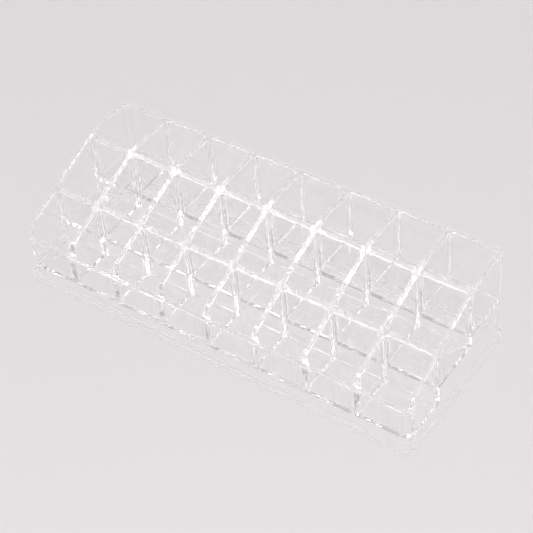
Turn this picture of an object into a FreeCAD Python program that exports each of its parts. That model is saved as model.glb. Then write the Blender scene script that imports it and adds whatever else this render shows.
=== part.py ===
import FreeCAD, Part
import math
import os

from FreeCAD import Vector

# Clear tiered organizer for cosmetics: an outer shell with a foot flange, three stepped
# row floors, two lengthwise tier walls, and cross dividers that drop over the tier walls
# with half-lap joints. Millimetres, +Z up, X along the length, the front faces -Y.
# The origin is on the table, under the middle of the foot.

# Driving dimensions: the grid of cells
column_count = 8
cell_width = 25.2
back_cell_depth = 27.0
middle_cell_depth = 27.0
front_cell_depth = 22.4
cell_corner_radius = 2.2
divider_thickness = 2.8
tier_wall_thickness = 2.8

# Driving dimensions: the row floors, each placed by its upper face
back_floor_height = 28.0
middle_floor_height = 21.0
front_floor_height = 10.4
floor_thickness = 2.4

# Driving dimensions: the outer shell, thickest at the foot
shell_foot_thickness = 2.5
shell_lean = 0.7
shell_corner_radius = 4.7
flange_width = 1.8
flange_height = 3.5
flange_edge_radius = 0.6

# Driving dimensions: the rim line that shell, tier walls and dividers share, seen from the end
back_rim_height = 57.0
rear_tier_rim_height = 55.0
middle_rim_low_height = 46.0
front_tier_rim_height = 41.8
front_rim_low_height = 33.5
front_rim_height = 26.5
shoulder_run = 5.8
tier_drop_run = 5.6
nose_run = 2.0
shoulder_radius = 16.0
tier_rim_radius = 9.0
nose_radius = 4.0
nose_foot_radius = 1.2

# Driving dimensions: joints and cuts
lap_clearance = 0.05
lap_height_share = 0.5
flare_sweep_degrees = 75.0
cut_overrun = 2.0
shortest_edge = 0.001

# Places that follow from the driving dimensions
column_pitch = cell_width + divider_thickness
inner_length = column_count * column_pitch - divider_thickness
inner_depth = back_cell_depth + middle_cell_depth + front_cell_depth + 2 * tier_wall_thickness
front_face = -inner_depth / 2
front_tier_front = front_face + front_cell_depth
front_tier_back = front_tier_front + tier_wall_thickness
rear_tier_front = front_tier_back + middle_cell_depth
rear_tier_back = rear_tier_front + tier_wall_thickness
back_face = rear_tier_back + back_cell_depth
front_tier_middle = (front_tier_front + front_tier_back) / 2
rear_tier_middle = (rear_tier_front + rear_tier_back) / 2
front_lap_height = middle_floor_height + lap_height_share * (front_tier_rim_height - middle_floor_height)
rear_lap_height = back_floor_height + lap_height_share * (rear_tier_rim_height - back_floor_height)
shell_length = inner_length + 2 * shell_foot_thickness
shell_depth = inner_depth + 2 * shell_foot_thickness
inner_corner_radius = shell_corner_radius - shell_foot_thickness
divider_places = [(k - column_count / 2) * column_pitch for k in range(1, column_count)]


def rounded_corner(before, corner, after, radius):
    """Start, middle and end of the tangent arc that rounds a corner, limited by its sides."""
    to_before = before - corner
    to_after = after - corner
    half_angle = to_before.getAngle(to_after) / 2
    reach = min(to_before.Length, to_after.Length) / 2
    radius = min(radius, reach * math.tan(half_angle))
    if radius <= 0:
        return corner, None, corner
    to_before.normalize()
    to_after.normalize()
    inward = to_before + to_after
    inward.normalize()
    tangent = radius / math.tan(half_angle)
    middle = corner + inward * (radius / math.sin(half_angle) - radius)
    return corner + to_before * tangent, middle, corner + to_after * tangent


def rounded_outline(corners):
    """Closed face through (point, radius) corners."""
    points = [point for point, radius in corners]
    following = points[1:] + points[:1]
    arcs = [rounded_corner(points[k - 1], points[k], following[k], corners[k][1])
            for k in range(len(points))]
    edges = []
    for k, (start, middle, end) in enumerate(arcs):
        if middle is not None:
            edges.append(Part.Arc(start, middle, end).toShape())
        next_start = arcs[(k + 1) % len(arcs)][0]
        if (next_start - end).Length > shortest_edge:
            edges.append(Part.LineSegment(end, next_start).toShape())
    return Part.Face(Part.Wire(edges))


def rounded_rectangle(length, depth, radius, height):
    """Level rounded rectangle about the Z axis."""
    signs = [(-1, -1), (1, -1), (1, 1), (-1, 1)]
    return rounded_outline([(Vector(sx * length / 2, sy * depth / 2, height), radius) for sx, sy in signs])


def block(x_range, y_range, z_range):
    """Box between two corners."""
    low = Vector(x_range[0], y_range[0], z_range[0])
    return Part.makeBox(x_range[1] - x_range[0], y_range[1] - y_range[0], z_range[1] - z_range[0], low)


def flared_bar(start, end, thickness, bottom):
    """Upright wall along Y whose ends flare into the walls that they meet, as cell corners do."""
    half = thickness / 2
    sweep = math.radians(flare_sweep_degrees)

    def flare_point(side, tip, inward, angle):
        along = cell_corner_radius * (1 - math.sin(angle))
        across = half + cell_corner_radius * (1 - math.cos(angle))
        return Vector(side * across, tip + inward * along, bottom)

    edges = []
    corners = []
    for side, tip, inward in [(1, start, 1), (1, end, -1), (-1, end, -1), (-1, start, 1)]:
        root = flare_point(side, tip, inward, 0)
        middle = flare_point(side, tip, inward, sweep / 2)
        lip = flare_point(side, tip, inward, sweep)
        edges.append(Part.Arc(root, middle, lip).toShape())
        corners.append((root, lip, Vector(lip.x, tip, bottom)))
    right_start, right_end, left_end, left_start = corners
    runs = [(right_start[0], right_end[0]), (left_start[0], left_end[0])]
    runs += [(lip, foot) for root, lip, foot in corners]
    runs += [(right_end[2], left_end[2]), (right_start[2], left_start[2])]
    edges += [Part.LineSegment(a, b).toShape() for a, b in runs]
    outline = Part.Face(Part.Wire(Part.__sortEdges__(edges)))
    return outline.extrude(Vector(0, 0, back_rim_height - bottom))


def make_under_rim():
    """Everything below the rim line: the line seen from the end, swept along the length."""
    back_end = shell_depth / 2 + flange_width + cut_overrun
    reach = shell_length / 2 + flange_width + cut_overrun
    line = [
        (back_end, -cut_overrun, 0),
        (back_end, back_rim_height, 0),
        (rear_tier_middle + shoulder_run, back_rim_height, shoulder_radius),
        (rear_tier_middle, rear_tier_rim_height, tier_rim_radius),
        (front_tier_middle + tier_drop_run, middle_rim_low_height, tier_rim_radius),
        (front_tier_middle, front_tier_rim_height, tier_rim_radius),
        (front_face + nose_run, front_rim_low_height, nose_radius),
        (front_face, front_rim_height, nose_foot_radius),
        (-back_end, front_rim_height, 0),
        (-back_end, -cut_overrun, 0),
    ]
    outline = rounded_outline([(Vector(-reach, y, z), radius) for y, z, radius in line])
    return outline.extrude(Vector(2 * reach, 0, 0))


def make_cavity():
    """Space inside the shell, open at both ends."""
    outline = rounded_rectangle(inner_length, inner_depth, inner_corner_radius, -cut_overrun)
    return outline.extrude(Vector(0, 0, back_rim_height + 2 * cut_overrun))


def make_shell():
    """Leaning band with round corners and a foot flange, trimmed to the rim line."""
    foot = rounded_rectangle(shell_length, shell_depth, shell_corner_radius, 0)
    top_radius = shell_corner_radius - shell_lean
    top = rounded_rectangle(shell_length - 2 * shell_lean, shell_depth - 2 * shell_lean, top_radius, back_rim_height)
    band = Part.makeLoft([foot.OuterWire, top.OuterWire], True, True)
    flange_radius = shell_corner_radius + flange_width
    flange_foot = rounded_rectangle(shell_length + 2 * flange_width, shell_depth + 2 * flange_width, flange_radius, 0)
    flange = flange_foot.extrude(Vector(0, 0, flange_height))
    upper_edges = [edge for edge in flange.Edges if edge.BoundBox.ZMin > flange_height / 2]
    flange = flange.makeFillet(flange_edge_radius, upper_edges)
    return band.fuse(flange).cut(make_cavity()).common(make_under_rim())


def make_floor(front, back, height):
    """Plate of one row, fitted to the round corners of the shell."""
    reach = inner_length / 2
    plate = block((-reach, reach), (front, back), (height - floor_thickness, height))
    return plate.common(make_cavity())


def make_tier_wall(front, back, lower_floor, upper_floor, lap_height):
    """Lengthwise wall from under the lower floor to the rim, slotted from above for the dividers."""
    reach = inner_length / 2
    middle = (front + back) / 2
    web = block((-reach, reach), (front, back), (lower_floor - floor_thickness, back_rim_height))
    flared = flared_bar(-reach, reach, tier_wall_thickness, lower_floor)
    flared.rotate(Vector(0, 0, 0), Vector(0, 0, 1), -90)
    flared.translate(Vector(0, middle, 0))
    behind = block((-reach, reach), (back, back + cell_corner_radius), (lower_floor, upper_floor))
    half_slot = divider_thickness / 2 + lap_clearance
    slots = [block((x - half_slot, x + half_slot), (front - cut_overrun, back + cut_overrun),
                   (lap_height, back_rim_height + cut_overrun)) for x in divider_places]
    wall = web.fuse(flared.cut(behind)).common(make_under_rim())
    return wall.cut(Part.makeCompound(slots))


def make_divider():
    """Cross divider with a stepped foot, flared ends and tongues that lap the tier walls."""
    rows = [
        (front_face, front_tier_front - lap_clearance, front_floor_height),
        (front_tier_back + lap_clearance, rear_tier_front - lap_clearance, middle_floor_height),
        (rear_tier_back + lap_clearance, back_face, back_floor_height),
    ]
    half = divider_thickness / 2
    bars = [flared_bar(front, back, divider_thickness, floor) for front, back, floor in rows]
    laps = [
        (front_tier_front, front_tier_back, front_lap_height),
        (rear_tier_front, rear_tier_back, rear_lap_height),
    ]
    tongues = [block((-half, half), (front - lap_clearance, back + lap_clearance), (height, back_rim_height))
               for front, back, height in laps]
    return bars[0].fuse(bars[1:] + tongues).common(make_under_rim())


def save(name, shape):
    """Write one piece as a single clean solid."""
    whole = shape.removeSplitter()
    if len(whole.Solids) != 1:
        raise ValueError(name + " is not one solid")
    whole.Solids[0].exportStep("parts/" + name + ".step")


def main():
    os.makedirs("parts", exist_ok=True)
    save("outer_shell", make_shell())
    save("back_row_floor", make_floor(rear_tier_back, back_face, back_floor_height))
    save("middle_row_floor", make_floor(front_tier_back, rear_tier_front, middle_floor_height))
    save("front_row_floor", make_floor(front_face, front_tier_front, front_floor_height))
    save("rear_tier_wall", make_tier_wall(rear_tier_front, rear_tier_back, middle_floor_height,
                                          back_floor_height, rear_lap_height))
    save("front_tier_wall", make_tier_wall(front_tier_front, front_tier_back, front_floor_height,
                                           middle_floor_height, front_lap_height))
    divider = make_divider()
    for number, x in enumerate(divider_places, start=1):
        save("cross_divider_" + str(number), divider.translated(Vector(x, 0, 0)))


main()
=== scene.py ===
import math

import bmesh
import bpy
from mathutils import Matrix, Vector
from mathutils.bvhtree import BVHTree


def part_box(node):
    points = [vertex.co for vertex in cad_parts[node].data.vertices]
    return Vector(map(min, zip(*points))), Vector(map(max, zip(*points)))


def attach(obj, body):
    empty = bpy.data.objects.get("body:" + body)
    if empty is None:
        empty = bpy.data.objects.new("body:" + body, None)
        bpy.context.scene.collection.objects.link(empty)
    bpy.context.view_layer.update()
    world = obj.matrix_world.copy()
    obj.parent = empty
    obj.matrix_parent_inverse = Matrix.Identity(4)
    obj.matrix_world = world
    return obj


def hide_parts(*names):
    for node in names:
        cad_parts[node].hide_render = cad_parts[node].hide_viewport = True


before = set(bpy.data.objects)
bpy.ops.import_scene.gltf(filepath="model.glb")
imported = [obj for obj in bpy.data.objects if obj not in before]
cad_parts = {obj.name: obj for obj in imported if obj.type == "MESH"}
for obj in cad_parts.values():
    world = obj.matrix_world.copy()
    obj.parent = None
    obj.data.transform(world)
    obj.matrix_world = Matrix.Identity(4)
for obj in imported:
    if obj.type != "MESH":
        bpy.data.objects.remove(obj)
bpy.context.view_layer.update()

bl_info = {
    "name": "Clear vanity organizer",
    "version": (1, 0, 0),
    "blender": (4, 5, 0),
    "location": "3D View > Sidebar > Organizer",
    "description": "Builds a clear tiered organizer: shell, row floors, tier walls and cross dividers",
    "category": "Object",
}

# Meshes are shaped in millimetres and brought to metres at the end.
MM = 0.001
DIVIDER_NAMES = sorted(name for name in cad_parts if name.startswith("cross_divider"))
FLOOR_NAMES = ["front_row_floor", "middle_row_floor", "back_row_floor"]
TIER_NAMES = ["front_tier_wall", "rear_tier_wall"]

# Joints lie this far off the walls that they bond to, and cut this much more off a corner than its radius.
# Stencils reach CLEAR_OF past the body.
JOINT_STEP = 0.5
CORNER_JOINT_EXTRA = 1.5
CLEAR_OF = 5.0

# Shorter edges of the rim outline are merged, so that its rounding stays even.
SHORTEST_EDGE = 0.12

# Points this close together are at the same place, and NEARBY is a looser measure of it.
SAME_PLACE = 0.001
NEARBY = 0.01

# A face of a piece is on the moulding's skin if it is this close and the cosine between both is this high.
SKIN_DISTANCE = 0.005
SKIN_COSINE = 0.9

# Straight steps that make up each kind of rounding.
RIM_LINE_STEPS = 6
SHELL_CORNER_STEPS = 10
CELL_CORNER_STEPS = 8
EDGE_STEPS = 4
COVE_STEPS = 3

# Edges above this angle, in degrees, stay sharp. At full weight, large faces set the shading of small ones.
SHARP_ANGLE = 32
SHADING_WEIGHT = 100

# Slow waves and fine haze of the moulded surface. The waves' depth is in metres, and the plastic is a little
# darker at their tops.
WAVE_SCALE = 55.0
WAVE_DETAIL = 1.0
WAVE_DEPTH = 0.001
WAVE_SHADE = 0.995
HAZE_SCALE = 420.0
HAZE_DETAIL = 4.0
HAZE_RANGE = (0.35, 0.75)

# What is left of the light that goes through the plastic to the floor.
PASSING_COLOUR = (0.999, 0.999, 0.999, 1.0)

# Sockets of a Mix node that mixes colours.
MIX_FACTOR = 0
MIX_FIRST = 6
MIX_SECOND = 7
MIX_RESULT = 2

# Floor: half of its side in metres, and its dull paper.
FLOOR_REACH = 4.0
PAPER_ROUGHNESS = 0.9
PAPER_SHINE = 0.1

# Camera: lens and sensor in millimetres, nearest visible distance in metres, azimuth, elevation and roll in
# degrees, and offset to the right, up and back in millimetres.
CAMERA_LENS = 97.03
CAMERA_SENSOR = 36.0
CAMERA_NEAR = 0.01
CAMERA_ANGLES = (38.311, 43.447, -5.167)
CAMERA_OFFSET = (3.408, 19.228, 723.254)

# How many clear faces and bonded faces light may cross.
CLEAR_BOUNCES = 200
BONDED_BOUNCES = 128

# Softboxes: name, place in metres, width and depth in metres, power in watts, and whether the plastic
# mirrors it. Each faces the origin.
SOFTBOXES = [
    ("left_softbox", (-1.19, -0.94, 1.3), 0.8, 0.8, 1.8, True),
    ("front_fill", (0.35, -0.45, 0.6), 0.5, 0.5, 1.4, False),
]

# The dome's lights fade in and out between these heights above the horizon, as sines of the elevation.
LOW_FADE = (0.1, 0.25)
RING_FADE_IN = (0.3, 0.42)
RING_FADE_OUT = (0.48, 0.56)

# The ring is made of this many boxes. Each one fades out as a wave around the ring rises between two values.
RING_BOXES = 8
BOX_FADE = (-0.4, 0.2)

# The overhead light and the dark patch behind the camera fade in as a direction closes in on theirs.
OVERHEAD_DIRECTION = (-0.3, 0.03, 0.953)
OVERHEAD_FADE = (0.94, 0.965)
VIEWER_FADE = (0.9, 0.97)


def cad_range(node, axis):
    """Lowest and highest place of a CAD node along one axis, in millimetres."""
    low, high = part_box(node)
    return low[axis] / MM, high[axis] / MM


def cad_middle(node, axis):
    """Middle of a CAD node along one axis, in millimetres."""
    return sum(cad_range(node, axis)) / 2


def length(name, millimetres, description):
    """A length property, stored in metres."""
    return bpy.props.FloatProperty(
        name=name,
        description=description,
        default=millimetres * MM,
        min=0.0,
        precision=5,
        subtype="DISTANCE",
        unit="LENGTH",
    )


def amount(name, value, description):
    """A plain number property."""
    return bpy.props.FloatProperty(
        name=name, description=description, default=value, min=0.0, precision=3
    )


def colour(name, value, description):
    """A colour property without alpha."""
    return bpy.props.FloatVectorProperty(
        name=name, description=description, default=value, size=3, min=0.0, max=1.0, subtype="COLOR"
    )


class OrganizerSizes(bpy.types.PropertyGroup):
    """Lengths of the organizer that its solids do not give directly."""

    wall_thickness: length("Wall thickness", 2.8, "Thickness of the tier walls and cross dividers")
    shell_foot_thickness: length("Shell thickness", 2.5, "Thickness of the shell at its foot")
    shell_lean: length("Shell lean", 0.7, "How far the outside leans in over the full height")
    shell_corner_radius: length("Shell corners", 4.7, "Radius of the outer corners at the foot")
    cell_corner_radius: length("Cell corners", 2.2, "Radius of the upright corners inside a cell")
    flange_width: length("Flange width", 1.8, "How far the foot flange stands out")
    flange_height: length("Flange height", 3.5, "Height of the foot flange")
    flange_roundness: length("Flange roundness", 0.6, "Radius of the upper edge of the flange")
    floor_thickness: length("Floor thickness", 2.4, "Thickness of the row floors")
    rim_roundness: length("Rim roundness", 0.7, "Radius of the rounded edges of every rim")
    floor_cove: length("Floor cove", 0.2, "Radius where the cell walls meet the floor")
    wall_draft: length("Wall draft", 0.15, "How much thicker a wall side is at the floor than at the rim")


class OrganizerRim(bpy.types.PropertyGroup):
    """The rim line that shell, tier walls and dividers share, seen from the end."""

    back_height: length("Back rim", 57.0, "Height of the rim behind the rear tier wall")
    rear_tier_height: length("Rear tier rim", 55.0, "Height of the rim over the rear tier wall")
    middle_low_height: length("Middle rim", 46.0, "Lowest height of the rim over the middle row")
    front_tier_height: length("Front tier rim", 41.8, "Height of the rim over the front tier wall")
    nose_height: length("Nose", 33.5, "Height of the rim where the dividers end at the front")
    front_height: length("Front rim", 26.5, "Height of the rim of the front wall")
    shoulder_run: length("Shoulder run", 5.8, "From the rear tier wall back to the level rim")
    tier_drop_run: length("Tier drop run", 5.6, "From the front tier wall back to the middle rim")
    nose_run: length("Nose run", 2.0, "From the front wall back to the nose")
    shoulder_radius: length("Shoulder radius", 16.0, "Rounding where the level rim starts to fall")
    tier_radius: length("Tier radius", 9.0, "Rounding of the rim at the tier walls")
    nose_radius: length("Nose radius", 4.0, "Rounding of the nose")
    nose_foot_radius: length("Nose foot radius", 1.2, "Rounding where the nose meets the front rim")


class OrganizerFinish(bpy.types.PropertyGroup):
    """Look of the clear plastic."""

    tint: colour("Tint", (0.999, 0.999, 1.0), "Colour of the clear plastic")
    gloss_roughness: amount("Roughness", 0.012, "Roughness of the polished surface")
    refraction: amount("Index of refraction", 1.49, "How strongly the plastic bends light")
    waviness: amount("Waviness", 0.03, "Strength of the slow waves that moulding leaves in a surface")


class OrganizerStudio(bpy.types.PropertyGroup):
    """Floor and light."""

    floor_colour: colour("Floor colour", (0.63, 0.605, 0.618), "Colour of the pale floor")
    dome_strength: amount("Dome strength", 0.5, "Strength of the even light from all around")
    horizon_strength: amount("Horizon strength", 1.2, "Strength of the light along the horizon")
    ring_strength: amount("Ring strength", 7.5, "Strength added by the ring of boxes half way up")
    overhead_strength: amount("Overhead strength", 1.2, "Strength added by the light overhead")
    viewer_side_strength: amount("Viewer side", 0.05, "Share of the light left behind the camera")


class Layout:
    """Places that the moulding and the joints share, in millimetres."""

    def __init__(self, sizes, rim):
        self.wall = sizes.wall_thickness / MM
        self.foot = sizes.shell_foot_thickness / MM
        self.lean = sizes.shell_lean / MM
        self.shell_corner = sizes.shell_corner_radius / MM
        self.cell_corner = sizes.cell_corner_radius / MM
        self.flange_width = sizes.flange_width / MM
        self.flange_height = sizes.flange_height / MM
        self.flange_round = sizes.flange_roundness / MM
        self.floor_thickness = sizes.floor_thickness / MM
        self.rim_round = sizes.rim_roundness / MM
        self.cove = sizes.floor_cove / MM
        self.draft = sizes.wall_draft / MM
        self.half_length = cad_range("outer_shell", 0)[1]
        self.half_depth = cad_range("outer_shell", 1)[1]
        self.top = cad_range("outer_shell", 2)[1]
        self.flat_rim = self.top - self.rim_round
        self.inner_length = self.half_length - self.flange_width - self.foot
        self.inner_depth = self.half_depth - self.flange_width - self.foot
        self.divider_places = [cad_middle(name, 0) for name in DIVIDER_NAMES]
        self.tier_places = [cad_middle(name, 1) for name in TIER_NAMES]
        self.floor_heights = [cad_range(name, 2)[1] for name in FLOOR_NAMES]
        self.line = rim_line(self.rim_corners(rim))
        self.joint_length = self.inner_length - JOINT_STEP
        self.joint_depth = self.inner_depth - JOINT_STEP
        self.corner_joint = self.shell_corner - self.foot + CORNER_JOINT_EXTRA
        self.flare_reach = self.cell_corner + JOINT_STEP
        self.seats = [height + self.cove + JOINT_STEP for height in self.floor_heights]
        self.laps = [
            (floor + rim_height(self.line, y)) / 2
            for floor, y in zip(self.floor_heights[1:], self.tier_places)
        ]

    def rim_corners(self, rim):
        """Corners of the rim line from back to front: place along Y, height and rounding."""
        front_tier, rear_tier = self.tier_places
        front = -self.inner_depth
        end = self.half_depth + CLEAR_OF
        return [
            (end, rim.back_height / MM, 0.0),
            (rear_tier + rim.shoulder_run / MM, rim.back_height / MM, rim.shoulder_radius / MM),
            (rear_tier, rim.rear_tier_height / MM, rim.tier_radius / MM),
            (front_tier + rim.tier_drop_run / MM, rim.middle_low_height / MM, rim.tier_radius / MM),
            (front_tier, rim.front_tier_height / MM, rim.tier_radius / MM),
            (front + rim.nose_run / MM, rim.nose_height / MM, rim.nose_radius / MM),
            (front, rim.front_height / MM, rim.nose_foot_radius / MM),
            (-end, rim.front_height / MM, 0.0),
        ]

    def rows(self):
        """Front and back of each row of cells."""
        half = self.wall / 2
        front, rear = self.tier_places
        return [
            (-self.inner_depth, front - half),
            (front + half, rear - half),
            (rear + half, self.inner_depth),
        ]


def rim_line(corners):
    """Points of the rounded rim line from back to front."""
    points = [Vector(corners[0][:2])]
    for before, corner, after in zip(corners, corners[1:], corners[2:]):
        middle = Vector(corner[:2])
        to_before = Vector(before[:2]) - middle
        to_after = Vector(after[:2]) - middle
        half_angle = to_before.angle(to_after) / 2
        reach = min(to_before.length, to_after.length) / 2
        radius = min(corner[2], reach * math.tan(half_angle))
        start = middle + to_before.normalized() * radius / math.tan(half_angle)
        end = middle + to_after.normalized() * radius / math.tan(half_angle)
        inward = (to_before.normalized() + to_after.normalized()).normalized()
        centre = middle + inward * radius / math.sin(half_angle)
        for step in range(RIM_LINE_STEPS + 1):
            chord = start.lerp(end, step / RIM_LINE_STEPS) - centre
            points.append(centre + chord.normalized() * radius)
    points.append(Vector(corners[-1][:2]))
    return points


def rim_height(line, y):
    """Height of the rim line above a place along Y."""
    for high, low in zip(line, line[1:]):
        if low.x <= y <= high.x and high.x > low.x:
            return low.y + (high.y - low.y) * (y - low.x) / (high.x - low.x)
    return line[0].y if y > line[0].x else line[-1].y


def step_in(bm, faces, inward, outward):
    """Insets a patch of faces and moves it along its normals."""
    bmesh.ops.inset_region(
        bm, faces=faces, thickness=inward, depth=outward, use_even_offset=True, use_boundary=True
    )


def round_corners(bm, verts, radius, segments):
    """Rounds the corners of loose outlines."""
    bmesh.ops.bevel(
        bm,
        geom=verts,
        offset=radius,
        offset_type="OFFSET",
        affect="VERTICES",
        segments=segments,
        profile=0.5,
        material=-1,
        clamp_overlap=False,
    )


def roll_edge(bm, faces, radius, segments, outward):
    """Quarter-round from the sides of a patch to its face. Outward 1 raises it and -1 sinks it."""
    angles = [math.pi / 2 * k / segments for k in range(segments + 1)]
    for low, high in zip(angles, angles[1:]):
        inward = radius * (math.cos(low) - math.cos(high))
        rise = radius * (math.sin(high) - math.sin(low))
        step_in(bm, faces, inward, outward * rise)


def slice_across(bm, geom, y, distance):
    """Cuts geometry with an upright plane at one place along Y."""
    bmesh.ops.bisect_plane(
        bm, geom=geom, dist=distance, plane_co=(0.0, y, 0.0), plane_no=(0.0, 1.0, 0.0)
    )


def plate(bm, half_length, half_depth, height):
    """One level rectangle about the Z axis."""
    made = bmesh.ops.create_grid(bm, x_segments=1, y_segments=1, size=1.0)
    bmesh.ops.scale(bm, vec=(half_length, half_depth, 1.0), verts=made["verts"])
    bmesh.ops.translate(bm, vec=(0.0, 0.0, height), verts=made["verts"])
    return made["verts"]


def thicken(bm, face, height):
    """Raises a loose face into a closed block and returns its upper face."""
    made = bmesh.ops.extrude_face_region(bm, geom=[face])
    raised = [item for item in made["geom"] if isinstance(item, bmesh.types.BMVert)]
    bmesh.ops.translate(bm, vec=(0.0, 0.0, height), verts=raised)
    return [item for item in made["geom"] if isinstance(item, bmesh.types.BMFace)][0]


def in_order(items):
    """Items without repeats, in the order in which they first come, so that every run is the same."""
    return list(dict.fromkeys(items))


def level_geometry(bm, height):
    """Vertices and edges that lie at one height."""
    verts = [v for v in bm.verts if abs(v.co.z - height) < SAME_PLACE]
    chosen = set(verts)
    edges = [e for e in bm.edges if e.verts[0] in chosen and e.verts[1] in chosen]
    return verts, edges


def underside(bm, place):
    """Faces on the table that lie inside the foot of the shell."""
    reach_x = place.inner_length + NEARBY
    reach_y = place.inner_depth + NEARBY
    level = [face for face in bm.faces if abs(face.calc_center_median().z) < SAME_PLACE]
    return [
        face for face in level
        if all(abs(v.co.x) < reach_x and abs(v.co.y) < reach_y for v in face.verts)
    ]


def press_block(bm, place):
    """Block with a foot flange and round corners. Returns its upper face."""
    plate(bm, place.half_length, place.half_depth, 0.0)
    round_corners(bm, bm.verts[:], place.shell_corner + place.flange_width, SHELL_CORNER_STEPS)
    bm.faces.ensure_lookup_table()
    upper = thicken(bm, bm.faces[0], place.flange_height - place.flange_round)
    bmesh.ops.recalc_face_normals(bm, faces=bm.faces[:])
    roll_edge(bm, [upper], place.flange_round, EDGE_STEPS, 1)
    step_in(bm, [upper], place.flange_width - place.flange_round, 0.0)
    step_in(bm, [upper], 0.0, place.flat_rim - place.flange_height)
    return upper


def hollow_underside(bm, place):
    """Opens the block from below, in steps that follow the row floors."""
    bottom = min(bm.faces, key=lambda face: face.calc_center_median().z)
    step_in(bm, [bottom], place.flange_width + place.foot, 0.0)
    for y in place.tier_places:
        parts = [part for face in underside(bm, place) for part in (face, *face.verts, *face.edges)]
        slice_across(bm, in_order(parts), y + place.wall / 2, SAME_PLACE)
    ceilings = sorted(underside(bm, place), key=lambda face: face.calc_center_median().y)
    reached = 0.0
    for row, height in enumerate(place.floor_heights):
        ceiling = height - place.floor_thickness
        step_in(bm, ceilings[row:], 0.0, reached - ceiling)
        reached = ceiling


def outline_cells(bm, place):
    """Lays the outlines of the cells, with round corners, at the height of the flat rim."""
    columns = len(place.divider_places) + 1
    rows = len(place.floor_heights)
    made = bmesh.ops.create_grid(bm, x_segments=columns, y_segments=rows, size=1.0)
    pitch = 2 * (place.inner_length + place.wall / 2) / columns
    edge = place.inner_depth + place.wall / 2
    lines = [-edge, *place.tier_places, edge]
    for vert in made["verts"]:
        column = round((vert.co.x + 1) / 2 * columns)
        row = round((vert.co.y + 1) / 2 * rows)
        vert.co = (pitch * (column - columns / 2), lines[row], place.flat_rim)
    cells = in_order(face for vert in made["verts"] for face in vert.link_faces)
    ring = bmesh.ops.inset_individual(bm, faces=cells, thickness=place.wall / 2, use_even_offset=True)
    bmesh.ops.delete(bm, geom=ring["faces"], context="FACES")
    corners = in_order(vert for face in cells for vert in face.verts)
    near_x = place.inner_length - NEARBY
    near_y = place.inner_depth - NEARBY
    outer = [v for v in corners if abs(v.co.x) > near_x and abs(v.co.y) > near_y]
    inner = [v for v in corners if v not in outer]
    round_corners(bm, outer, place.shell_corner - place.foot, CELL_CORNER_STEPS)
    round_corners(bm, inner, place.cell_corner, CELL_CORNER_STEPS)


def close_rims(bm, place):
    """Fills the flat rim between the shell and the cells. Returns its faces and those of the cells."""
    for point in place.line:
        verts, edges = level_geometry(bm, place.flat_rim)
        slice_across(bm, verts + edges, point.x, NEARBY)
    verts, edges = level_geometry(bm, place.flat_rim)
    bmesh.ops.remove_doubles(bm, verts=verts, dist=SHORTEST_EDGE)
    verts, edges = level_geometry(bm, place.flat_rim)
    filled = bmesh.ops.triangle_fill(bm, edges=edges, use_beauty=True, normal=(0.0, 0.0, 1.0))
    rims = [item for item in filled["geom"] if isinstance(item, bmesh.types.BMFace)]
    chosen = set(verts)
    known = set(rims)
    cells = [f for f in bm.faces if f not in known and all(v in chosen for v in f.verts)]
    for face in rims + cells:
        if face.normal.z < 0:
            face.normal_flip()
    return rims, cells


def step_rims(bm, place):
    """Lowers the flat rim to the rim line and leans the outside of the shell inwards."""
    for vert in bm.verts:
        if vert.co.z > place.flat_rim - SAME_PLACE:
            vert.co.z += rim_height(place.line, vert.co.y) - place.top
        if vert.co.z > place.flange_height - NEARBY:
            thinning = place.lean * vert.co.z / place.top / place.foot
            for axis, limit in ((0, place.inner_length), (1, place.inner_depth)):
                beyond = abs(vert.co[axis]) - limit
                if SAME_PLACE < beyond < place.foot + NEARBY:
                    vert.co[axis] -= math.copysign(beyond * thinning, vert.co[axis])


def press_moulding(place):
    """The whole organizer as one clear moulding with a flange, its cells and an open underside."""
    bm = bmesh.new()
    upper = press_block(bm, place)
    hollow_underside(bm, place)
    bmesh.ops.delete(bm, geom=[upper], context="FACES_ONLY")
    outline_cells(bm, place)
    rims, cells = close_rims(bm, place)
    for (front, back), floor in zip(place.rows(), place.floor_heights):
        row_cells = [f for f in cells if front < f.calc_center_median().y < back]
        step_in(bm, row_cells, place.draft, floor + place.cove - place.flat_rim)
        roll_edge(bm, row_cells, place.cove, COVE_STEPS, -1)
    roll_edge(bm, rims, place.rim_round, EDGE_STEPS, 1)
    step_rims(bm, place)
    bmesh.ops.triangulate(bm, faces=bm.faces[:])
    bmesh.ops.recalc_face_normals(bm, faces=bm.faces[:])
    return bm


def start_moulding(context):
    """Layout, moulding and the moulding's skin, with the sizes that the panel shows."""
    place = Layout(context.scene.organizer_sizes, context.scene.organizer_rim)
    body = press_moulding(place)
    return place, body, BVHTree.FromBMesh(body)


def box_stencil(boxes):
    """Closed stencil in the shape of several overlapping boxes, each given by two corners."""
    whole = None
    for low, high in boxes:
        low = Vector(low)
        high = Vector(high)
        fitted = Matrix.LocRotScale((low + high) / 2, None, high - low)
        block = bmesh.new()
        bmesh.ops.create_cube(block, size=1.0, matrix=fitted)
        whole = block if whole is None else cut(whole, block, "UNION")
    return whole


def plate_stencil(half_length, y_range, z_range, ends, chamfer):
    """Closed stencil in the shape of a plate. The corners of the named ends are cut off."""
    bm = bmesh.new()
    verts = plate(bm, half_length, (y_range[1] - y_range[0]) / 2, z_range[0])
    bmesh.ops.translate(bm, vec=(0.0, sum(y_range) / 2, 0.0), verts=verts)
    chosen = [v for v in verts if ("back" if v.co.y > 0 else "front") in ends]
    if chosen:
        round_corners(bm, chosen, chamfer, 1)
    bm.faces.ensure_lookup_table()
    thicken(bm, bm.faces[0], z_range[1] - z_range[0])
    bmesh.ops.recalc_face_normals(bm, faces=bm.faces[:])
    return bm


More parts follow.
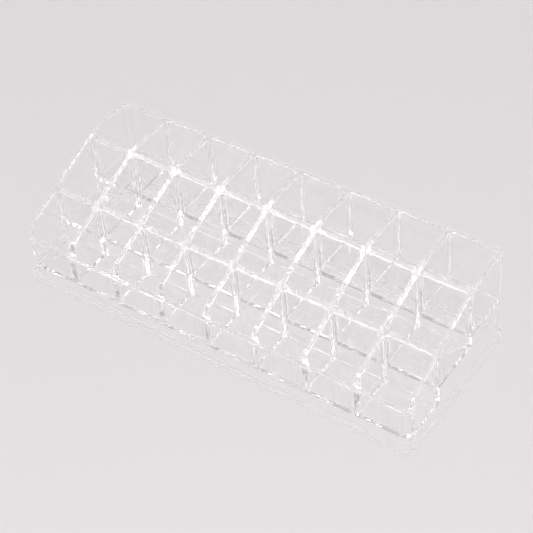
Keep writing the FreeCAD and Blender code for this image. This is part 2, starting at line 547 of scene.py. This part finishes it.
def loose_object(bm, name):
    """Scene object that holds a copy of a bmesh."""
    mesh = bpy.data.meshes.new(name)
    bm.to_mesh(mesh)
    obj = bpy.data.objects.new(name, mesh)
    bpy.context.scene.collection.objects.link(obj)
    return obj


def cut(body, stencil, operation):
    """Boolean of two closed bmeshes."""
    target = loose_object(body, "body")
    tool = loose_object(stencil, "stencil")
    boolean = target.modifiers.new("joint", "BOOLEAN")
    boolean.operation = operation
    boolean.solver = "MANIFOLD"
    boolean.object = tool
    evaluated = target.evaluated_get(bpy.context.evaluated_depsgraph_get())
    mesh = bpy.data.meshes.new_from_object(evaluated)
    result = bmesh.new()
    result.from_mesh(mesh)
    bpy.data.meshes.remove(mesh)
    for obj in (target, tool):
        data = obj.data
        bpy.data.objects.remove(obj)
        bpy.data.meshes.remove(data)
    if not result.faces:
        raise RuntimeError("a joint cut left nothing")
    return result


def new_material(name):
    """Empty node material, its nodes and links, and its output node."""
    material = bpy.data.materials.new(name)
    material.use_nodes = True
    nodes = material.node_tree.nodes
    nodes.clear()
    return material, nodes, material.node_tree.links, nodes.new("ShaderNodeOutputMaterial")


def clear_plastic(finish):
    """Glossy clear plastic with the slow waves and faint haze of a moulding."""
    known = bpy.data.materials.get("polished_clear_plastic")
    if known is not None:
        return known
    material, nodes, links, output = new_material("polished_clear_plastic")
    place = nodes.new("ShaderNodeTexCoord")

    def noise(scale, detail):
        """Noise that stays with the piece."""
        texture = nodes.new("ShaderNodeTexNoise")
        texture.inputs["Scale"].default_value = scale
        texture.inputs["Detail"].default_value = detail
        links.new(place.outputs["Object"], texture.inputs["Vector"])
        return texture.outputs["Fac"]

    def swap(test, usual, other):
        """Usual shader, or the other one for the rays that pass a test."""
        chosen = nodes.new("ShaderNodeMixShader")
        links.new(test, chosen.inputs["Fac"])
        links.new(usual, chosen.inputs[1])
        links.new(other, chosen.inputs[2])
        return chosen.outputs["Shader"]

    waves = noise(WAVE_SCALE, WAVE_DETAIL)
    bump = nodes.new("ShaderNodeBump")
    bump.inputs["Strength"].default_value = finish.waviness
    bump.inputs["Distance"].default_value = WAVE_DEPTH
    links.new(waves, bump.inputs["Height"])
    polish = nodes.new("ShaderNodeMapRange")
    polish.inputs["From Min"].default_value = HAZE_RANGE[0]
    polish.inputs["From Max"].default_value = HAZE_RANGE[1]
    polish.inputs["To Min"].default_value = 0.0
    polish.inputs["To Max"].default_value = finish.gloss_roughness
    links.new(noise(HAZE_SCALE, HAZE_DETAIL), polish.inputs["Value"])
    shade = nodes.new("ShaderNodeMix")
    shade.data_type = "RGBA"
    shade.inputs[MIX_FIRST].default_value = (*finish.tint, 1.0)
    shade.inputs[MIX_SECOND].default_value = (*[WAVE_SHADE * part for part in finish.tint], 1.0)
    links.new(waves, shade.inputs[MIX_FACTOR])
    surface = nodes.new("ShaderNodeBsdfPrincipled")
    surface.inputs["Transmission Weight"].default_value = 1.0
    surface.inputs["IOR"].default_value = finish.refraction
    links.new(shade.outputs[MIX_RESULT], surface.inputs["Base Color"])
    links.new(polish.outputs["Result"], surface.inputs["Roughness"])
    links.new(bump.outputs["Normal"], surface.inputs["Normal"])
    passing = nodes.new("ShaderNodeBsdfTransparent")
    passing.inputs["Color"].default_value = PASSING_COLOUR
    path = nodes.new("ShaderNodeLightPath")
    lamps = swap(path.outputs["Is Shadow Ray"], surface.outputs["BSDF"], passing.outputs["BSDF"])
    bounced = swap(path.outputs["Is Diffuse Ray"], lamps, passing.outputs["BSDF"])
    links.new(bounced, output.inputs["Surface"])
    return material


def bonded_face():
    """A face inside a bonded joint, where no air is left to bend the light."""
    known = bpy.data.materials.get("bonded_face")
    if known is not None:
        return known
    material, nodes, links, output = new_material("bonded_face")
    passing = nodes.new("ShaderNodeBsdfTransparent")
    links.new(passing.outputs["BSDF"], output.inputs["Surface"])
    return material


def finish_piece(context, bm, skin, name, node):
    """Makes one bmesh the piece that stands for a CAD node. Faces off the moulding's skin are bonded."""
    bmesh.ops.triangulate(bm, faces=bm.faces[:])
    for face in bm.faces:
        _, normal, _, distance = skin.find_nearest(face.calc_center_median())
        bonded = distance > SKIN_DISTANCE or normal.dot(face.normal) < SKIN_COSINE
        face.material_index = 1 if bonded else 0
        face.smooth = True
    for edge in bm.edges:
        bonded = any(face.material_index for face in edge.link_faces)
        edge.smooth = not bonded and edge.calc_face_angle(math.pi) < math.radians(SHARP_ANGLE)
    bmesh.ops.scale(bm, vec=(MM, MM, MM), verts=bm.verts[:])
    mesh = bpy.data.meshes.new(name)
    bm.to_mesh(mesh)
    bm.free()
    mesh.materials.append(clear_plastic(context.scene.organizer_finish))
    mesh.materials.append(bonded_face())
    piece = bpy.data.objects.new(name, mesh)
    context.scene.collection.objects.link(piece)
    weighted = piece.modifiers.new("even_shading", "WEIGHTED_NORMAL")
    weighted.keep_sharp = True
    weighted.weight = SHADING_WEIGHT
    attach(piece, "root")
    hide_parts(node)


def lay_floor(studio):
    """Plain pale floor."""
    bm = bmesh.new()
    plate(bm, FLOOR_REACH, FLOOR_REACH, 0.0)
    floor = loose_object(bm, "studio_floor")
    bm.free()
    material, nodes, links, output = new_material("floor_paper")
    paper = nodes.new("ShaderNodeBsdfPrincipled")
    paper.inputs["Base Color"].default_value = (*studio.floor_colour, 1.0)
    paper.inputs["Roughness"].default_value = PAPER_ROUGHNESS
    paper.inputs["Specular IOR Level"].default_value = PAPER_SHINE
    links.new(paper.outputs["BSDF"], output.inputs["Surface"])
    floor.data.materials.append(material)


def light_dome(scene, studio, viewer_direction):
    """Soft light from all around: a low glow, a ring of boxes and a light overhead."""
    world = bpy.data.worlds.new("studio_dome")
    world.use_nodes = True
    nodes = world.node_tree.nodes
    links = world.node_tree.links
    background = nodes["Background"]
    background.inputs["Color"].default_value = (1.0, 1.0, 1.0, 1.0)
    direction = nodes.new("ShaderNodeTexCoord").outputs["Generated"]
    axes = nodes.new("ShaderNodeSeparateXYZ")
    links.new(direction, axes.inputs["Vector"])

    def fade(value, limits, before, after):
        """Smooth change of brightness between two values."""
        step = nodes.new("ShaderNodeMapRange")
        step.interpolation_type = "SMOOTHSTEP"
        step.inputs["From Min"].default_value = limits[0]
        step.inputs["From Max"].default_value = limits[1]
        step.inputs["To Min"].default_value = before
        step.inputs["To Max"].default_value = after
        links.new(value, step.inputs["Value"])
        return step.outputs["Result"]

    def closeness(aim):
        """How closely a direction points to a light."""
        match = nodes.new("ShaderNodeVectorMath")
        match.operation = "DOT_PRODUCT"
        match.inputs[1].default_value = aim
        links.new(direction, match.inputs[0])
        return match.outputs["Value"]

    def combine(operation, first, second):
        """Sum, product or angle of two values."""
        both = nodes.new("ShaderNodeMath")
        both.operation = operation
        links.new(first, both.inputs[0])
        links.new(second, both.inputs[1])
        return both.outputs["Value"]

    def ripple(angle, count):
        """Wave that goes up and down a number of times around the dome."""
        faster = nodes.new("ShaderNodeMath")
        faster.operation = "MULTIPLY"
        faster.inputs[1].default_value = count
        links.new(angle, faster.inputs[0])
        wave = nodes.new("ShaderNodeMath")
        wave.operation = "COSINE"
        links.new(faster.outputs["Value"], wave.inputs[0])
        return wave.outputs["Value"]

    rise = axes.outputs["Z"]
    low = fade(rise, LOW_FADE, studio.horizon_strength, studio.dome_strength)
    ring_foot = fade(rise, RING_FADE_IN, 0.0, studio.ring_strength)
    band = combine("MULTIPLY", ring_foot, fade(rise, RING_FADE_OUT, 1.0, 0.0))
    around = combine("ARCTAN2", axes.outputs["X"], axes.outputs["Y"])
    ring = combine("MULTIPLY", band, fade(ripple(around, RING_BOXES), BOX_FADE, 1.0, 0.0))
    overhead = fade(closeness(OVERHEAD_DIRECTION), OVERHEAD_FADE, 0.0, studio.overhead_strength)
    shaded = fade(closeness(viewer_direction), VIEWER_FADE, 1.0, studio.viewer_side_strength)
    lights = combine("ADD", combine("ADD", low, ring), overhead)
    links.new(combine("MULTIPLY", lights, shaded), background.inputs["Strength"])
    scene.world = world


def hang_softboxes(scene):
    """Softboxes that face the organizer."""
    for name, place, width, depth, power, mirrored in SOFTBOXES:
        lamp = bpy.data.lights.new(name, "AREA")
        lamp.shape = "RECTANGLE"
        lamp.size = width
        lamp.size_y = depth
        lamp.energy = power
        softbox = bpy.data.objects.new(name, lamp)
        softbox.location = place
        softbox.rotation_euler = (-softbox.location).to_track_quat("-Z", "Y").to_euler()
        softbox.visible_glossy = mirrored
        softbox.visible_transmission = mirrored
        scene.collection.objects.link(softbox)


def camera_axes():
    """Directions to the right of the camera, up from it and back from it."""
    azimuth, elevation, roll = (math.radians(angle) for angle in CAMERA_ANGLES)
    back = Vector((
        math.sin(azimuth) * math.cos(elevation),
        -math.cos(azimuth) * math.cos(elevation),
        math.sin(elevation),
    ))
    level = Vector((math.cos(azimuth), math.sin(azimuth), 0.0))
    turned = Matrix.Rotation(roll, 3, back)
    return turned @ level, turned @ back.cross(level), back


def aim_camera(scene, right, up, back):
    """Camera at the photo's angle."""
    camera = bpy.data.cameras.new("photo_camera")
    camera.sensor_width = CAMERA_SENSOR
    camera.lens = CAMERA_LENS
    camera.clip_start = CAMERA_NEAR
    viewer = bpy.data.objects.new("photo_camera", camera)
    scene.collection.objects.link(viewer)
    away_right, away_up, away_back = CAMERA_OFFSET
    matrix = Matrix((right, up, back)).transposed().to_4x4()
    matrix.translation = (right * away_right + up * away_up + back * away_back) * MM
    viewer.matrix_world = matrix
    scene.camera = viewer


class ORGANIZER_OT_outer_shell(bpy.types.Operator):
    """Shell with round corners, stepped rim and foot flange"""

    bl_idname = "organizer.outer_shell"
    bl_label = "Outer shell"

    def execute(self, context):
        place, body, skin = start_moulding(context)
        inside = plate_stencil(
            place.joint_length,
            (-place.joint_depth, place.joint_depth),
            (-CLEAR_OF, place.top + CLEAR_OF),
            ("front", "back"),
            place.corner_joint,
        )
        finish_piece(context, cut(body, inside, "DIFFERENCE"), skin, "shell", "outer_shell")
        return {"FINISHED"}


class ORGANIZER_OT_row_floors(bpy.types.Operator):
    """Stepped floors of the three rows of cells"""

    bl_idname = "organizer.row_floors"
    bl_label = "Row floors"

    def execute(self, context):
        place, body, skin = start_moulding(context)
        ends = [("front",), (), ("back",)]
        for row, node in enumerate(FLOOR_NAMES):
            front, back = place.rows()[row]
            stencil = plate_stencil(
                place.joint_length,
                (front + JOINT_STEP, back - JOINT_STEP),
                (place.floor_heights[row] - place.floor_thickness - JOINT_STEP, place.seats[row]),
                ends[row],
                place.corner_joint,
            )
            finish_piece(context, cut(body, stencil, "INTERSECT"), skin, node + "_plate", node)
        return {"FINISHED"}


class ORGANIZER_OT_tier_walls(bpy.types.Operator):
    """Lengthwise walls between the rows, slotted from above for the dividers"""

    bl_idname = "organizer.tier_walls"
    bl_label = "Tier walls"

    def execute(self, context):
        place, body, skin = start_moulding(context)
        high = place.top + CLEAR_OF
        end = place.joint_length
        sides = [-end]
        for x in place.divider_places:
            sides += [x - place.wall / 2, x + place.wall / 2]
        sides.append(end)
        for tier, node in enumerate(TIER_NAMES):
            front = place.rows()[tier][1] - JOINT_STEP
            back = place.rows()[tier + 1][0] + JOINT_STEP
            low = place.floor_heights[tier] - place.floor_thickness - JOINT_STEP
            lap = place.laps[tier]
            boxes = [((-end, front, low), (end, back, lap))]
            for left, right in zip(sides[0::2], sides[1::2]):
                boxes.append(((left, front, lap - JOINT_STEP), (right, back, high)))
            flare_front = front - place.flare_reach
            flare_back = back + place.flare_reach
            for left, right in ((-end, place.flare_reach - end), (end - place.flare_reach, end)):
                boxes.append(((left, flare_front, place.seats[tier]), (right, front + JOINT_STEP, high)))
                boxes.append(((left, back - JOINT_STEP, place.seats[tier + 1]), (right, flare_back, high)))
            piece = cut(body, box_stencil(boxes), "INTERSECT")
            finish_piece(context, piece, skin, node + "_web", node)
        return {"FINISHED"}


class ORGANIZER_OT_cross_dividers(bpy.types.Operator):
    """Cross dividers that lap over both tier walls"""

    bl_idname = "organizer.cross_dividers"
    bl_label = "Cross dividers"

    def execute(self, context):
        place, body, skin = start_moulding(context)
        high = place.top + CLEAR_OF
        half = place.wall / 2
        reach = half + place.flare_reach
        for x, node in zip(place.divider_places, DIVIDER_NAMES):
            boxes = []
            for (front, back), seat in zip(place.rows(), place.seats):
                boxes.append(((x - reach, front + JOINT_STEP, seat), (x + reach, back - JOINT_STEP, high)))
            for tier, lap in enumerate(place.laps):
                front = place.rows()[tier][1] - 2 * JOINT_STEP
                back = place.rows()[tier + 1][0] + 2 * JOINT_STEP
                boxes.append(((x - half, front, lap), (x + half, back, high)))
            piece = cut(body, box_stencil(boxes), "INTERSECT")
            finish_piece(context, piece, skin, node + "_wall", node)
        return {"FINISHED"}


class ORGANIZER_OT_studio(bpy.types.Operator):
    """Pale floor, soft light and the camera"""

    bl_idname = "organizer.studio"
    bl_label = "Studio"

    def execute(self, context):
        scene = context.scene
        right, up, back = camera_axes()
        lay_floor(scene.organizer_studio)
        light_dome(scene, scene.organizer_studio, back)
        hang_softboxes(scene)
        aim_camera(scene, right, up, back)
        scene.view_settings.view_transform = "Standard"
        scene.cycles.max_bounces = CLEAR_BOUNCES
        scene.cycles.transmission_bounces = CLEAR_BOUNCES
        scene.cycles.glossy_bounces = CLEAR_BOUNCES
        scene.cycles.transparent_max_bounces = BONDED_BOUNCES
        return {"FINISHED"}


class ORGANIZER_PT_parts(bpy.types.Panel):
    """Lists the pieces and their sizes"""

    bl_label = "Vanity organizer"
    bl_idname = "ORGANIZER_PT_parts"
    bl_space_type = "VIEW_3D"
    bl_region_type = "UI"
    bl_category = "Organizer"

    def draw(self, context):
        scene = context.scene
        for operator in OPERATORS:
            self.layout.operator(operator.bl_idname)
        groups = (
            scene.organizer_sizes,
            scene.organizer_rim,
            scene.organizer_finish,
            scene.organizer_studio,
        )
        for group in groups:
            for name in group.__annotations__:
                self.layout.prop(group, name)


OPERATORS = (
    ORGANIZER_OT_outer_shell,
    ORGANIZER_OT_row_floors,
    ORGANIZER_OT_tier_walls,
    ORGANIZER_OT_cross_dividers,
    ORGANIZER_OT_studio,
)
GROUPS = (OrganizerSizes, OrganizerRim, OrganizerFinish, OrganizerStudio)


def register():
    for made in (*GROUPS, *OPERATORS, ORGANIZER_PT_parts):
        bpy.utils.register_class(made)
    bpy.types.Scene.organizer_sizes = bpy.props.PointerProperty(type=OrganizerSizes)
    bpy.types.Scene.organizer_rim = bpy.props.PointerProperty(type=OrganizerRim)
    bpy.types.Scene.organizer_finish = bpy.props.PointerProperty(type=OrganizerFinish)
    bpy.types.Scene.organizer_studio = bpy.props.PointerProperty(type=OrganizerStudio)


def unregister():
    del bpy.types.Scene.organizer_studio
    del bpy.types.Scene.organizer_finish
    del bpy.types.Scene.organizer_rim
    del bpy.types.Scene.organizer_sizes
    for made in reversed((*GROUPS, *OPERATORS, ORGANIZER_PT_parts)):
        bpy.utils.unregister_class(made)


def main():
    register()
    bpy.ops.organizer.outer_shell()
    bpy.ops.organizer.row_floors()
    bpy.ops.organizer.tier_walls()
    bpy.ops.organizer.cross_dividers()
    bpy.ops.organizer.studio()


if __name__ == "__main__":
    main()
